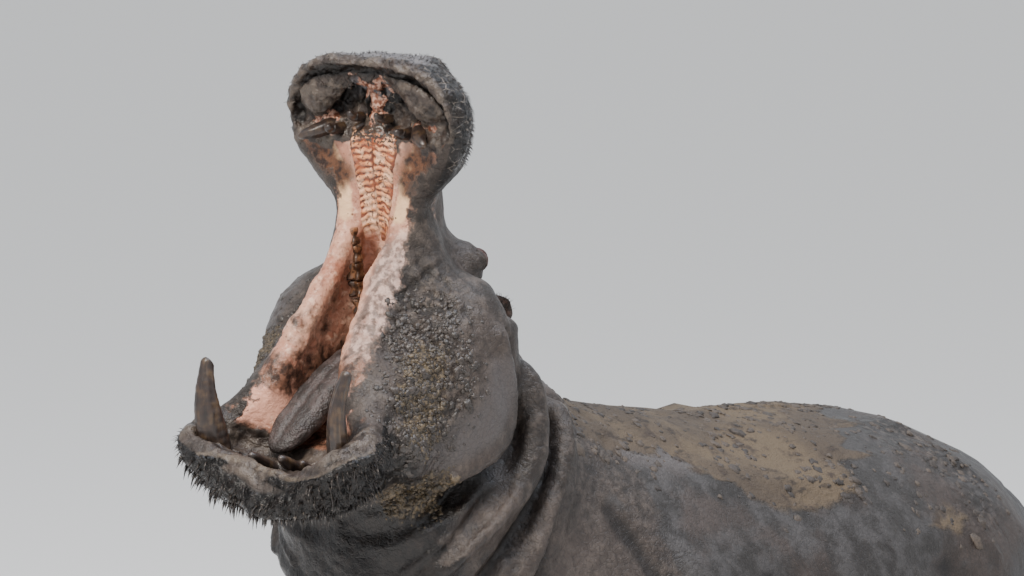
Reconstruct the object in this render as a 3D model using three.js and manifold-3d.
// A life-size hippopotamus bull, standing, with its head thrown up and its mouth wide open.
// Millimetres. +X forward, +Y to the animal's left, +Z up, soles on Z = 0.
//
// The flesh is one field: a function of a point that is negative inside the animal and zero on its skin.
// Rounded forms named after the anatomy are blended into it, it is drawn out as a closed mesh at a cell size
// that suits each region, and thin plane cuts part the body where a person would name its parts.
import * as THREE from "three";
import { SimplifyModifier } from "three/addons/modifiers/SimplifyModifier.js";
import { mergeVertices } from "three/addons/utils/BufferGeometryUtils.js";
import Module from "manifold-3d";

const wasm = await Module();
wasm.setup();
const { Manifold, Mesh: SolidMesh } = wasm;

// ---------------------------------------------------------------- driving dimensions

const GAP = 0.3; // left between two pieces that touch
const BACK_HEIGHT = 1440; // top of the back over the floor
const BELLY_HEIGHT = 440; // underside of the barrel over the floor
const BODY_HALF_WIDTH = 620;

const JAW_JOINT = [930, 0, 1810]; // middle of the line through both jaw joints
const SKULL_LEAN = 81; // degrees over the horizontal, the upper jaw's direction
const JAW_DIP = 12; // degrees under the horizontal, the lower jaw's direction
const SKULL_LENGTH = 700; // jaw joint to the tip of the upper lip
const JAW_LENGTH = 705; // jaw joint to the front of the lower lip
const MUZZLE_HALF_WIDTH = 260;
const CHIN_HALF_WIDTH = 268;
const PALATE_DEPTH = 82; // roof of the mouth, under the joint line
const FLOOR_DEPTH = 205; // floor of the mouth, under the joint line

const TUSK_LENGTH = 200; // of each lower canine, over the gum
const TUSK_RADIUS = 37;
const EYE_RADIUS = 25;
const EAR_LENGTH = 95;
const LEG_X = { front: 400, hind: -1060 };
const LEG_Y = { front: 345, hind: 335 };

// ---------------------------------------------------------------- frames of the head

const radians = THREE.MathUtils.degToRad;
const [leanSin, leanCos] = [Math.sin(radians(SKULL_LEAN)), Math.cos(radians(SKULL_LEAN))];
const [dipSin, dipCos] = [Math.sin(radians(JAW_DIP)), Math.cos(radians(JAW_DIP))];

// A point of the upper head: `along` towards the nose, `side` to the left, `up` towards the forehead.
const skull = (along, side, up) => [
  JAW_JOINT[0] + along * leanCos - up * leanSin,
  side,
  JAW_JOINT[2] + along * leanSin + up * leanCos,
];

// A point of the lower jaw: `along` towards the chin, `side` to the left, `up` into the mouth.
const jaw = (along, side, up) => [
  JAW_JOINT[0] + along * dipCos + up * dipSin,
  side,
  JAW_JOINT[2] - along * dipSin + up * dipCos,
];

// The same two frames read the other way: how far along and up a point of the animal lies.
const inSkull = ([x, , z]) => {
  const [dx, dz] = [x - JAW_JOINT[0], z - JAW_JOINT[2]];
  return { along: dx * leanCos + dz * leanSin, up: dz * leanCos - dx * leanSin };
};
const inJaw = ([x, , z]) => {
  const [dx, dz] = [x - JAW_JOINT[0], z - JAW_JOINT[2]];
  return { along: dx * dipCos - dz * dipSin, up: dx * dipSin + dz * dipCos };
};

// ---------------------------------------------------------------- forms and blends

const { abs, min, max, hypot, sin, cos, PI } = Math;
const UPRIGHT = new THREE.Vector3(0, 1, 0);
const SIDES = { left: 1, right: -1 };
const SIDE_SIGNS = Object.values(SIDES);
const mix = (a, b, t) => a + (b - a) * t;
const ramp = (low, high, value) => THREE.MathUtils.smoothstep(value, low, high);

// An ellipsoid with its own radii, tilted by `tilt` degrees nose-up.
function ball(at, radii, tilt = 0) {
  const [s, c] = [sin(radians(tilt)), cos(radians(tilt))];
  const [rx, ry, rz] = radii;
  return ([x, y, z]) => {
    const [dx, dy, dz] = [x - at[0], y - at[1], z - at[2]];
    const [ex, ez] = [dx * c + dz * s, dz * c - dx * s];
    const near = hypot(ex / rx, dy / ry, ez / rz);
    const slope = hypot(ex / rx ** 2, dy / ry ** 2, ez / rz ** 2);
    return slope < 1e-9 ? -min(rx, ry, rz) : (near * (near - 1)) / slope;
  };
}

// A tapered round bar between two points. `wide` above 1 makes it an oval bar, broader across the animal.
function bar(from, to, radiusFrom, radiusTo, wide = 1) {
  const [ax, ay, az] = from;
  const [bx, by, bz] = [to[0] - ax, (to[1] - ay) / wide, to[2] - az];
  const length2 = bx * bx + by * by + bz * bz;
  return ([x, y, z]) => {
    const [dx, dy, dz] = [x - ax, (y - ay) / wide, z - az];
    const t = min(1, max(0, (dx * bx + dy * by + dz * bz) / length2));
    return hypot(dx - t * bx, dy - t * by, dz - t * bz) - mix(radiusFrom, radiusTo, t);
  };
}

// A rope of changing radius along a smooth curve through `stops`, each [point, radius].
function rope(stops, pieces) {
  const curve = new THREE.CatmullRomCurve3(stops.map(([p]) => new THREE.Vector3(...p)));
  const places = curve.getPoints(pieces).map((p) => p.toArray());
  const radiusAt = (i) => {
    const place = (i / pieces) * (stops.length - 1);
    const stop = min(stops.length - 2, Math.floor(place));
    return mix(stops[stop][1], stops[stop + 1][1], place - stop);
  };
  const bars = places.slice(1).map((p, i) => bar(places[i], p, radiusAt(i), radiusAt(i + 1)));
  return (p) => min(...bars.map((form) => form(p)));
}

// Left and right at once: the form as seen by the point's mirror image on the left.
const paired = (form) => ([x, y, z]) => form([x, abs(y), z]);

// Two forms run together over `blend` millimetres, or one is hollowed by the other.
const melt = (a, b, blend) => min(a, b) - (max(blend - abs(a - b), 0) ** 2 / blend) * 0.25;
const hollow = (a, b, blend) => -melt(-a, b, blend);
const together = (blend, ...forms) => (p) =>
  forms.map((form) => form(p)).reduce((a, b) => melt(a, b, blend));

// ---------------------------------------------------------------- body

const barrelMiddle = (BACK_HEIGHT + BELLY_HEIGHT) / 2;
const barrelDepth = (BACK_HEIGHT - BELLY_HEIGHT) / 2;

const barrel = together(
  240,
  ball([-380, 0, barrelMiddle], [880, BODY_HALF_WIDTH, barrelDepth]),
  ball([290, 0, 975], [540, 500, 480], 6),
  ball([-1030, 0, 900], [600, 540, 420], 4),
);

const neckForm = together(
  140,
  bar([230, 0, 1000], [800, 0, 1450], 440, 282, 0.98),
  bar([950, 0, 1380], [610, 0, 900], 235, 400, 1.1),
  ball([985, 0, 1165], [238, 300, 258]),
);

// Rolls of skin that the thrown-back head pushes up behind the jaw, each a rope over the nape and down to the
// throat. Its stops lie on the midline, beside the nape, on the side of the neck and under the throat.
const rollNear = rope(
  [
    [[700, 0, 1700], 46],
    [[752, 150, 1712], 46],
    [[805, 248, 1655], 46],
    [[818, 286, 1540], 50],
    [[862, 294, 1425], 50],
    [[975, 264, 1300], 48],
    [[1080, 150, 1215], 44],
    [[1120, 0, 1190], 40],
  ],
  18,
);
const rollFar = rope(
  [
    [[520, 0, 1600], 46],
    [[590, 150, 1592], 50],
    [[662, 262, 1530], 54],
    [[700, 305, 1430], 56],
    [[778, 318, 1300], 56],
    [[880, 296, 1160], 54],
    [[985, 170, 1040], 48],
    [[1015, 0, 1000], 40],
  ],
  18,
);
const neckRolls = together(20, rollNear, rollFar);

const legForms = {
  front: together(
    120,
    bar([330, 330, 980], [390, 350, 520], 225, 150),
    bar([390, 350, 520], [LEG_X.front, LEG_Y.front, 110], 140, 112),
    ball([LEG_X.front + 12, LEG_Y.front, 62], [142, 126, 88]),
  ),
  hind: together(
    120,
    bar([-960, 300, 930], [-960, 350, 560], 290, 180),
    bar([-960, 350, 560], [LEG_X.hind - 50, LEG_Y.hind, 300], 165, 112),
    bar([LEG_X.hind - 50, LEG_Y.hind, 300], [LEG_X.hind, LEG_Y.hind, 100], 112, 106),
    ball([LEG_X.hind + 12, LEG_Y.hind, 60], [136, 120, 84]),
  ),
};

// Four toes spread round the front of each foot, the middle two foremost.
const TOE_ANGLES = [-62, -22, 22, 62];
const toePlace = (leg, angle, reach, height) => [
  LEG_X[leg] + 35 + reach * cos(radians(angle)),
  LEG_Y[leg] + reach * 0.92 * sin(radians(angle)),
  height,
];
const toeForms = (leg) =>
  TOE_ANGLES.map((angle) => ball(toePlace(leg, angle, 118, 44), [58, 42, 52]));

const legs = paired(
  together(
    24,
    legForms.front,
    legForms.hind,
    ...toeForms("front"),
    ...toeForms("hind"),
  ),
);

// ---------------------------------------------------------------- upper head

const cranium = together(
  60,
  bar(skull(-50, 0, 25), skull(110, 0, 20), 150, 108, 1.25),
  bar(skull(110, 0, 8), skull(420, 0, 18), 96, 92, 1.15),
  bar(skull(120, 0, -45), skull(430, 0, -52), 40, 40, 3),
);
const orbits = paired(ball(skull(132, 122, 92), [54, 52, 60]));

const muzzle = together(
  60,
  ball(skull(550, 0, -4), [90, MUZZLE_HALF_WIDTH, 152]),
  paired(ball(skull(458, 122, 12), [84, 90, 92])),
  paired(bar(skull(600, 88, 48), skull(520, 70, 84), 52, 46)),
);

// ---------------------------------------------------------------- lower jaw and cheeks

const mandible = together(
  80,
  paired(ball([1105, 150, 1312], [110, 112, 110])),
  ball(jaw(590, 0, -235), [112, CHIN_HALF_WIDTH - 18, 78], -JAW_DIP),
  paired(bar(jaw(540, 130, -220), jaw(120, 190, -190), 88, 130)),
  bar(jaw(540, 0, -265), jaw(120, 0, -270), 62, 150, 1.2),
);

// The rim of the mouth, from the middle of the upper lip down the stretched cheek to that of the lower lip.
const UPPER_LIP = [
  [skull(SKULL_LENGTH - 12, 0, -80), 30],
  [skull(SKULL_LENGTH - 28, 150, -80), 32],
  [skull(600, 232, -52), 36],
  [skull(492, 238, -52), 36],
  [skull(412, 178, -54), 33],
  [skull(350, 112, -66), 28],
];
const CHEEK_EDGE = [
  [skull(290, 86, -86), 25],
  [[1096, 90, 2000], 26],
  [[1160, 106, 1895], 28],
  [[1232, 120, 1805], 30],
  [[1290, 130, 1716], 33],
  [[1352, 176, 1620], 34],
];
const LOWER_LIP = [
  [jaw(530, 252, -142), 40],
  [jaw(600, 262, -150), 42],
  [jaw(655, 205, -170), 44],
  [jaw(JAW_LENGTH - 45, 105, -192), 44],
  [jaw(JAW_LENGTH - 40, 0, -200), 44],
];
const lips = rope([...UPPER_LIP, ...CHEEK_EDGE, ...LOWER_LIP], 48);

// The cheek: the bulge of the jaw muscle, and skin stretched from it to the edge of the mouth like a fan.
const CHEEK_ROOT = [985, 178, 1770];
const cheek = together(
  60,
  ball([1000, 218, 1645], [155, 130, 295], 8),
  bar([1050, 190, 1750], jaw(430, 166, -126), 96, 52),
  together(30, ...CHEEK_EDGE.map(([edge, radius]) => bar(edge, CHEEK_ROOT, radius, 88))),
);

// The open mouth: in front of the palate, over the floor, between the cheeks. Its roof draws back beside the
// gums, and its floor rises towards the throat.
function mouth(p) {
  const [upper, lower] = [inSkull(p), inJaw(p)];
  const halfWidth = max(
    mix(104, 214, ramp(370, 480, upper.along)),
    mix(104, 205, ramp(420, 570, lower.along)),
  );
  const besideGums = 34 * ramp(90, 200, abs(p[1])) * ramp(380, 480, upper.along);
  const palate = upper.up + PALATE_DEPTH - max(22 * ramp(440, 560, upper.along), besideGums);
  const floorDip = 45 * (ramp(300, 480, lower.along) - 1) + 15 * ramp(480, 600, lower.along);
  const floor = -lower.up - FLOOR_DEPTH - floorDip;
  const throat = 1015 - p[0];
  const endsOfLips = max(upper.along - SKULL_LENGTH + 75, lower.along - JAW_LENGTH + 75);
  const walls = -melt(-palate, -floor, 60);
  return max(-melt(-walls, halfWidth - abs(p[1]), 70), throat, endsOfLips);
}

// Inside the upper lip: two round pads over the roots of the upper canines.
const lipPads = paired(ball(skull(592, 158, -62), [50, 70, 62]));

// ---------------------------------------------------------------- the whole skin

const body = together(170, barrel, neckForm);
const headMass = together(50, together(34, cranium, orbits), muzzle, mandible, paired(cheek));

function flesh(p) {
  const frame = melt(body(p), legs(p), 110);
  const rolled = melt(frame, paired(neckRolls)(p), 30);
  const headed = melt(rolled, headMass(p), 40);
  const open = melt(hollow(headed, mouth(p), 40), lipPads(p), 24);
  return melt(open, paired(lips)(p), 30);
}

// ---------------------------------------------------------------- from field to solid

// How finely each region is drawn: the cell size, and the share of the vertices kept where the skin is flat.
const DETAIL = {
  head: { cell: 34, kept: 0.31 },
  neck: { cell: 56, kept: 0.32 },
  trunk: { cell: 84, kept: 0.24 },
  leg: { cell: 48, kept: 0.27 },
};

// Draws the zero surface of `field` inside the box from `low` to `high`, as one solid. What reaches past the
// box is closed off there, so plane cuts take that end away.
async function drawn(field, low, high, { cell, kept }) {
  const grid = sampled(field, low, high, cell);
  const { places, vertexOf } = crossings(grid);
  const settled = places.map((place) => settle(field, place, grid));
  const geometry = new THREE.BufferGeometry();
  geometry.setAttribute("position", new THREE.Float32BufferAttribute(settled.flat(), 3));
  geometry.setIndex(facets(grid, places, vertexOf));
  return solid(await new SimplifyModifier().modify(geometry, Math.floor(places.length * (1 - kept))));
}

// The field's value at every corner of a grid over the box. The outermost corners count as outside the flesh.
function sampled(field, low, high, cell) {
  const cells = low.map((l, axis) => Math.ceil((high[axis] - l) / cell));
  const step = low.map((l, axis) => (high[axis] - l) / cells[axis]);
  const at = (i, j, k) => (i * (cells[1] + 1) + j) * (cells[2] + 1) + k;
  const value = new Float64Array(at(...cells) + 1);
  for (let i = 0; i <= cells[0]; i++)
    for (let j = 0; j <= cells[1]; j++)
      for (let k = 0; k <= cells[2]; k++) {
        const corner = [i, j, k].map((n, axis) => low[axis] + n * step[axis]);
        const outermost = [i, j, k].some((n, axis) => n === 0 || n === cells[axis]);
        value[at(i, j, k)] = outermost ? max(field(corner), cell / 4) : field(corner);
      }
  return { low, high, cell, cells, step, at, value };
}

const CORNERS = [0, 1, 2, 3, 4, 5, 6, 7].map((n) => [n & 1, (n >> 1) & 1, (n >> 2) & 1]);
const EDGES = CORNERS.flatMap((a, n) =>
  CORNERS.slice(n + 1)
    .filter((b) => hypot(a[0] - b[0], a[1] - b[1], a[2] - b[2]) === 1)
    .map((b) => [a, b]),
);

// One vertex in each cell that the surface crosses, in the middle of where it cuts the cell's edges.
function crossings({ low, cells, step, at, value }) {
  const places = [];
  const vertexOf = new Map();
  for (let i = 0; i < cells[0]; i++)
    for (let j = 0; j < cells[1]; j++)
      for (let k = 0; k < cells[2]; k++) {
        const valueAt = (corner) => value[at(i + corner[0], j + corner[1], k + corner[2])];
        const cuts = EDGES.filter(([a, b]) => valueAt(a) < 0 !== valueAt(b) < 0).map(([a, b]) => {
          const t = valueAt(a) / (valueAt(a) - valueAt(b));
          return a.map((n, axis) => mix(n, b[axis], t));
        });
        if (!cuts.length) continue;
        const middle = (axis) => cuts.reduce((sum, cut) => sum + cut[axis], 0) / cuts.length;
        vertexOf.set(at(i, j, k), places.length);
        places.push([i, j, k].map((n, axis) => low[axis] + (n + middle(axis)) * step[axis]));
      }
  return { places, vertexOf };
}

// Two triangles across each grid edge that the surface cuts, facing out and split on the shorter diagonal.
function facets({ cells, at, value }, places, vertexOf) {
  const triangles = [];
  const span = (a, b) => hypot(...places[a].map((v, axis) => v - places[b][axis]));
  const quad = (a, b, c, d) => {
    if (span(a, c) <= span(b, d)) triangles.push(a, b, c, a, c, d);
    else triangles.push(a, b, d, b, c, d);
  };
  for (let i = 0; i < cells[0]; i++)
    for (let j = 0; j < cells[1]; j++)
      for (let k = 0; k < cells[2]; k++) {
        const inside = value[at(i, j, k)] < 0;
        const across = (far, ring) => {
          if (inside === value[far] < 0) return;
          const corners = ring.map((cell) => vertexOf.get(cell));
          quad(...(inside ? corners : corners.reverse()));
        };
        const here = at(i, j, k);
        if (j && k) across(at(i + 1, j, k), [at(i, j - 1, k - 1), at(i, j, k - 1), here, at(i, j - 1, k)]);
        if (i && k) across(at(i, j + 1, k), [at(i - 1, j, k - 1), at(i - 1, j, k), here, at(i, j, k - 1)]);
        if (i && j) across(at(i, j, k + 1), [at(i - 1, j - 1, k), at(i, j - 1, k), here, at(i - 1, j, k)]);
      }
  return triangles;
}

// Moves a vertex along the field's slope onto its zero surface, less than half a cell.
function settle(field, place, { low, high, cell }) {
  if (place.some((v, axis) => v < low[axis] + cell || v > high[axis] - cell)) return place;
  const reach = 2;
  const slopeAt = (p) =>
    p.map((_, axis) => {
      const [more, less] = [reach, -reach].map((d) => p.map((v, n) => (n === axis ? v + d : v)));
      return (field(more) - field(less)) / (2 * reach);
    });
  let goal = place;
  for (let turn = 0; turn < 3; turn++) {
    const slope = slopeAt(goal);
    const steepness = max(0.3, hypot(...slope) ** 2);
    const height = field(goal);
    goal = goal.map((v, axis) => v - (slope[axis] * height) / steepness);
  }
  const moved = hypot(...goal.map((v, axis) => v - place[axis]));
  const share = min(1, (cell * 0.45) / max(moved, 1e-9));
  return place.map((v, axis) => mix(v, goal[axis], share));
}

// A closed geometry as a solid that can be joined and cut.
function solid(geometry) {
  const bare = geometry.clone();
  bare.deleteAttribute("normal");
  bare.deleteAttribute("uv");
  const merged = mergeVertices(bare, 1e-3);
  return new Manifold(
    new SolidMesh({
      numProp: 3,
      vertProperties: new Float32Array(merged.attributes.position.array),
      triVerts: new Uint32Array(merged.index.array),
    }),
  );
}

const FAR = 3000; // past the animal, whichever way
const block = (low, high) => {
  const size = low.map((l, n) => high[n] - l);
  const geometry = new THREE.BoxGeometry(...size);
  geometry.translate(...low.map((l, n) => l + size[n] / 2));
  return solid(geometry);
};

// The half of space in front of a plane through two points of the side view, as a big block.
function beyond([x1, z1], [x2, z2], shift = 0) {
  const turn = Math.atan2(z2 - z1, x2 - x1);
  const geometry = new THREE.BoxGeometry(2 * FAR, 2 * FAR, FAR);
  geometry.translate(0, 0, FAR / 2 + shift);
  geometry.rotateY(-turn);
  geometry.translate((x1 + x2) / 2, 0, (z1 + z2) / 2);
  return solid(geometry);
}

const minus = (made, cutters) => cutters.reduce((rest, cutter) => rest.subtract(cutter), made);
const joined = (made, pieces) => pieces.reduce((whole, piece) => whole.add(piece), made);

// The largest body of a solid, without the crumbs that a cut can leave.
const largest = (made) => made.decompose().reduce((a, b) => (b.volume() > a.volume() ? b : a));

// ---------------------------------------------------------------- regions and cuts

const NECK_CUT = [[640, 1830], [1080, 1225]]; // behind the jaw and the ears
const SHOULDER_CUT = [[190, 1560], [800, 760]]; // in front of the shoulders
const GAPE_CUT = 1790; // height that parts the upper head from the lower jaw, through the cheeks
const FOOT_TOP = 150;

const REGIONS = {
  head: [[560, -420, 1640], [1400, 420, 2620]],
  lower_jaw: [[560, -420, 1080], [1760, 420, 1960]],
  neck: [[100, -560, 480], [1420, 560, 2080]],
  trunk: [[-1800, -780, 280], [1150, 780, 1700]],
};
const legRegion = (x, y) => [[x - 330, y - 330, -80], [x + 370, y + 330, 780]];

const overFloor = block([-FAR, -FAR, 0], [FAR, FAR, FAR]);
const aboveGape = block([-FAR, -FAR, GAPE_CUT + GAP], [FAR, FAR, FAR]);
const belowGape = block([-FAR, -FAR, -FAR], [FAR, FAR, GAPE_CUT]);
const aboveAnkle = block([-FAR, -FAR, FOOT_TOP + GAP], [FAR, FAR, FAR]);
const belowAnkle = block([-FAR, -FAR, 0], [FAR, FAR, FOOT_TOP]);
const [pastNeck, pastNeckAndGap] = [0, GAP].map((shift) => beyond(...NECK_CUT, shift));
const [pastShoulders, pastShouldersAndGap] = [0, GAP].map((shift) => beyond(...SHOULDER_CUT, shift));

// The space that a leg takes out of the body: a drum round the free leg, domed where it enters the flesh.
function legZone(leg, side, grow) {
  const outline = [[0, -60], [300, -60], [300, 370], [230, 480], [150, 600], [0, 650]];
  const grown = outline.map(([r, z]) => new THREE.Vector2(r && r + grow, z > 0 ? z + grow : z));
  const geometry = new THREE.LatheGeometry(grown, 12);
  geometry.rotateX(PI / 2);
  geometry.scale(1, 0.92, 1);
  geometry.translate(LEG_X[leg] + 20, side * LEG_Y[leg], 0);
  return solid(geometry);
}

// ---------------------------------------------------------------- pieces beside the flesh

// A solid drawn along a bow from root to tip: its section is an oval, `wide` times as broad across the animal
// as it is thick, and radiusAt gives its radius at 0 to 1 of the way. `grow` makes it larger on every side.
function horn([root, bow, tip], radiusAt, wide, grow, around, along) {
  const [start, middle, end] = [root, bow, tip].map((p) => new THREE.Vector3(...p));
  start.add(start.clone().sub(middle).setLength(grow));
  end.add(end.clone().sub(middle).setLength(grow));
  const curve = new THREE.QuadraticBezierCurve3(start, middle, end);
  const geometry = new THREE.SphereGeometry(1, around, along);
  const spot = geometry.attributes.position;
  for (let i = 0; i < spot.count; i++) {
    const t = Math.acos(THREE.MathUtils.clamp(spot.getY(i), -1, 1)) / PI;
    const forward = curve.getTangent(t);
    const aside = new THREE.Vector3(0, 1, 0).cross(forward).normalize();
    const across = forward.clone().cross(aside);
    const round = hypot(spot.getX(i), spot.getZ(i));
    const radius = round < 1e-6 ? 0 : (radiusAt(t) + grow) / round;
    const place = curve.getPoint(t);
    place.addScaledVector(aside, radius * spot.getX(i));
    place.addScaledVector(across, radius * wide * spot.getZ(i));
    spot.setXYZ(i, place.x, place.y, place.z);
  }
  return solid(geometry);
}
const onSide = (side, points) => points.map(([x, y, z]) => [x, side * y, z]);

// Lower canine: rooted in the gum beside the chin, curving up, back and a little outwards.
function tusk(side, grow) {
  const points = [jaw(598, 194, -235), jaw(630, 222, -60), jaw(562, 219, TUSK_LENGTH - 148)];
  const taper = (t) => TUSK_RADIUS * min(1, 0.6 + 6 * t) * (1 - t ** 2.6) ** 0.8;
  return horn(onSide(side, points), taper, 1, grow, 9, 7);
}

// Outer ear: a small cupped oval leaf on a short stalk.
function ear(side, grow) {
  const points = [skull(-48, 148, 108), skull(-20, 212, 136), skull(EAR_LENGTH - 46, 208, 132)];
  const leaf = (t) => mix(20, 29, ramp(0.2, 0.6, t)) * (1 - t ** 3.5) ** 0.6 * min(1, 0.5 + 5 * t);
  return horn(onSide(side, points), leaf, 1, grow, 9, 6);
}

// Tongue: a thick slab that climbs from behind the chin into the throat.
function tongue(grow) {
  const points = [jaw(90, 0, -20), jaw(300, 0, -78), jaw(505, 0, -192)];
  const slab = (t) => 62 * min(1, 0.7 + 3 * t) * (1 - t ** 5) ** 0.5;
  return horn(points, slab, 1.1, grow, 10, 9);
}

// Eyeball, high on the side of the orbit.
function eye(side, grow) {
  const [x, y, z] = skull(140, 158, 104);
  return solid(new THREE.SphereGeometry(EYE_RADIUS + grow, 9, 6).translate(x, side * y, z));
}

// Tail: short, thick at the root and narrow at the tip, hanging close to the rump.
function tail(grow) {
  const points = [[-1440, 0, 1165], [-1700, 0, 1090], [-1668, 0, 690]];
  const taper = (t) => mix(46, 15, t) * min(1, 0.6 + 6 * t) * (1 - t ** 8);
  return horn(points, taper, 1, grow, 9, 9);
}

// One hoof-like nail, a flattened oval on the front of a toe, standing on the floor.
function nail(leg, side, angle, grow) {
  const [x, y, z] = toePlace(leg, angle, 152, 34);
  const geometry = new THREE.SphereGeometry(1, 6, 4);
  geometry.scale(26 + grow, 30 + grow, 38 + grow);
  geometry.rotateZ(side * radians(angle) * 0.9);
  return solid(geometry.translate(x, side * y, z));
}

// A tooth that grows with many others: a blunt six-sided peg from a root towards a point.
function peg(root, towards, radius) {
  const [from, to] = [root, towards].map((p) => new THREE.Vector3(...p));
  const axis = to.clone().sub(from);
  const geometry = new THREE.CylinderGeometry(radius * 0.75, radius, axis.length(), 6);
  geometry.applyQuaternion(new THREE.Quaternion().setFromUnitVectors(UPRIGHT, axis.clone().normalize()));
  const middle = from.add(to).multiplyScalar(0.5);
  return solid(geometry.translate(...middle.toArray()));
}

// Rows of cheek teeth along the roof and the floor of the mouth, and the blunt front teeth.
const steps = (count, first, spacing) => Array.from({ length: count }, (_, n) => first + n * spacing);
const upperTeeth = SIDE_SIGNS.flatMap((side) =>
  steps(6, 62, 47).map((u) => peg(skull(u, side * 70, -66), skull(u, side * 68, -104), 20)),
);
const lowerTeeth = SIDE_SIGNS.flatMap((side) => [
  ...steps(5, 205, 46).map((u) => peg(jaw(u, side * 94, -222), jaw(u, side * 92, -180), 18)),
  peg(jaw(560, side * 42, -245), jaw(640, side * 44, -170), 19),
]);

// ---------------------------------------------------------------- assembly

const FINISHES = {
  mud: { color: 0x4d4742, roughness: 0.45 },
  tongue: { color: 0x6a5c56, roughness: 0.4 },
  ivory: { color: 0x8d7450, roughness: 0.35 },
  eye: { color: 0x241a14, roughness: 0.1 },
  horn: { color: 0x3b332c, roughness: 0.5 },
};

const hippopotamus = new THREE.Group();
function add(name, made, finish) {
  const { numProp, vertProperties, triVerts } = made.getMesh();
  const spots = new Float32Array(made.numVert() * 3);
  for (let i = 0; i < made.numVert(); i++)
    spots.set(vertProperties.subarray(i * numProp, i * numProp + 3), i * 3);
  const geometry = new THREE.BufferGeometry();
  geometry.setAttribute("position", new THREE.BufferAttribute(spots, 3));
  geometry.setIndex(new THREE.BufferAttribute(triVerts, 1));
  geometry.computeVertexNormals();
  const material = new THREE.MeshStandardMaterial({ ...FINISHES[finish], metalness: 0 });
  const mesh = new THREE.Mesh(geometry, material);
  mesh.name = name;
  hippopotamus.add(mesh);
}

// The flesh is hollowed round the pieces that sit in it, each taken a gap larger than it is.
const [tuskRooms, eyeRooms, earRooms] = [tusk, eye, ear].map((piece) =>
  SIDE_SIGNS.map((side) => piece(side, GAP)),
);
const tongueRoom = tongue(GAP);

const upperHead = joined(await drawn(flesh, ...REGIONS.head, DETAIL.head), upperTeeth);
const headCut = upperHead.intersect(aboveGape).intersect(pastNeckAndGap);
add("head", largest(minus(headCut, [...eyeRooms, ...earRooms, tongueRoom])), "mud");

const lowerHead = joined(await drawn(flesh, ...REGIONS.lower_jaw, DETAIL.head), lowerTeeth);
const jawCut = lowerHead.intersect(belowGape).intersect(pastNeckAndGap);
add("lower_jaw", largest(minus(jawCut, [...tuskRooms, ...earRooms, tongueRoom])), "mud");

const neckWhole = await drawn(flesh, ...REGIONS.neck, DETAIL.neck);
const neckCut = neckWhole.subtract(pastNeck).intersect(pastShouldersAndGap);
add("neck", largest(minus(neckCut, [...earRooms, tongueRoom])), "mud");

const legList = Object.keys(LEG_X).flatMap((leg) =>
  Object.entries(SIDES).map(([name, side]) => ({ leg, name, side })),
);
const trunkWhole = await drawn(flesh, ...REGIONS.trunk, DETAIL.trunk);
const legRooms = legList.map(({ leg, side }) => legZone(leg, side, GAP));
add("trunk", largest(minus(trunkWhole.subtract(pastShoulders), [...legRooms, tail(GAP)])), "mud");
add("tail", tail(0), "mud");

for (const { leg, name, side } of legList) {
  const region = legRegion(LEG_X[leg], side * LEG_Y[leg]);
  const column = (await drawn(flesh, ...region, DETAIL.leg)).intersect(legZone(leg, side, 0));
  const nailRooms = TOE_ANGLES.map((angle) => nail(leg, side, angle, GAP));
  add(`leg_${leg}_${name}`, largest(column.intersect(aboveAnkle)), "mud");
  add(`foot_${leg}_${name}`, largest(minus(column.intersect(belowAnkle), nailRooms)), "mud");
  TOE_ANGLES.forEach((angle, n) => {
    add(`nail_${leg}_${name}_${n + 1}`, nail(leg, side, angle, 0).intersect(overFloor), "horn");
  });
}

for (const [name, side] of Object.entries(SIDES)) {
  add(`tusk_${name}`, tusk(side, 0), "ivory");
  add(`eye_${name}`, eye(side, 0), "eye");
  add(`ear_${name}`, ear(side, 0), "mud");
}
add("tongue", tongue(0), "tongue");

// The origin is on the floor, under the middle of the animal's length and width.
const bounds = new THREE.Box3().setFromObject(hippopotamus);
const centre = bounds.getCenter(new THREE.Vector3());
hippopotamus.position.set(-centre.x, -centre.y, -bounds.min.z);

export default hippopotamus;
